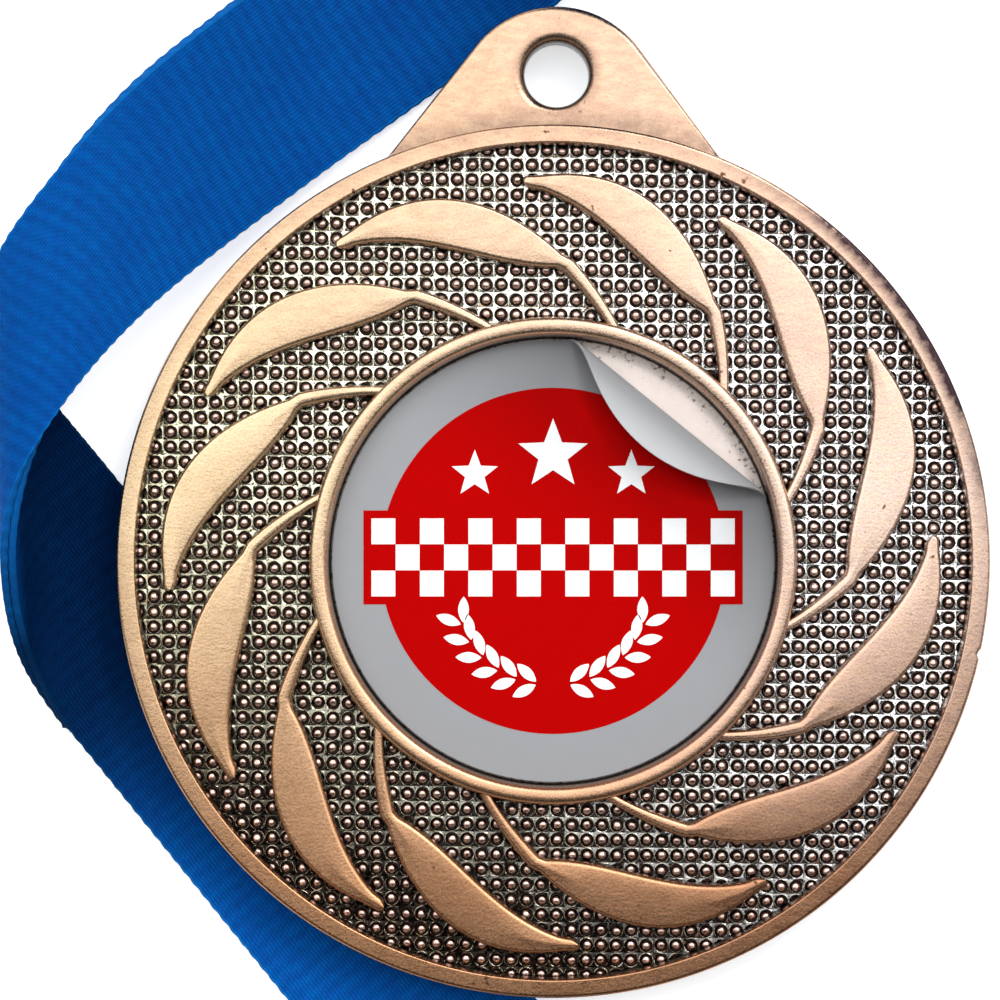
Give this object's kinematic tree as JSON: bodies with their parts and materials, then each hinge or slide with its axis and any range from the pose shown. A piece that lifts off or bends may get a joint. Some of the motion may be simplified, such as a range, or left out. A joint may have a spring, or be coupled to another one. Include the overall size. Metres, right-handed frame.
{
  "type": "sports finisher medal",
  "caption": "Round bronze medal with swept blades, beaded field and a centre label with one curled edge, lying on its rolled woven neck ribbon with a wire D-ring.",
  "frame": {"origin": "centre of the medal's flat back, which faces down", "axes": "+Z out of the medal's face, +Y from the medal's centre towards its ear, +X to the right of the face"},
  "size_m": [0.0574, 0.0993, 0.0212],
  "materials": {
    "antique_bronze": "antiqued satin, dark in the sunk field",
    "printed_film": "printed satin film",
    "blue_ribbon": "ribbed woven polyester",
    "tie_plastic": "matt grey",
    "seam_thread": "twisted thread",
    "nickel_wire": "bright nickel plate"
  },
  "bodies": {
    "ribbon": {"ribbon_strip": "blue_ribbon", "ribbon_roll": "blue_ribbon", "roll_tie": "tie_plastic", "seam_stitches": "seam_thread"},
    "medal": {"medal_body": "antique_bronze"},
    "label": {"logo_label": "printed_film"},
    "ring": {"d_ring": "nickel_wire"}
  },
  "joints": [
    {"name": "medal_lift", "type": "slide", "parent": "ribbon", "child": "medal", "axis": [0, 0, 1], "range_m": [0, 0.03]},
    {"name": "label_lift", "type": "slide", "parent": "medal", "child": "label", "axis": [0, 0, 1], "range_m": [0, 0.012]},
    {"name": "ring_swing", "type": "hinge", "parent": "ribbon", "child": "ring", "pos_m": [-0.00021, -0.03529, 0.00005], "axis": [-0.7771, -0.6293, 0], "range_deg": [0, 130]}
  ]
}
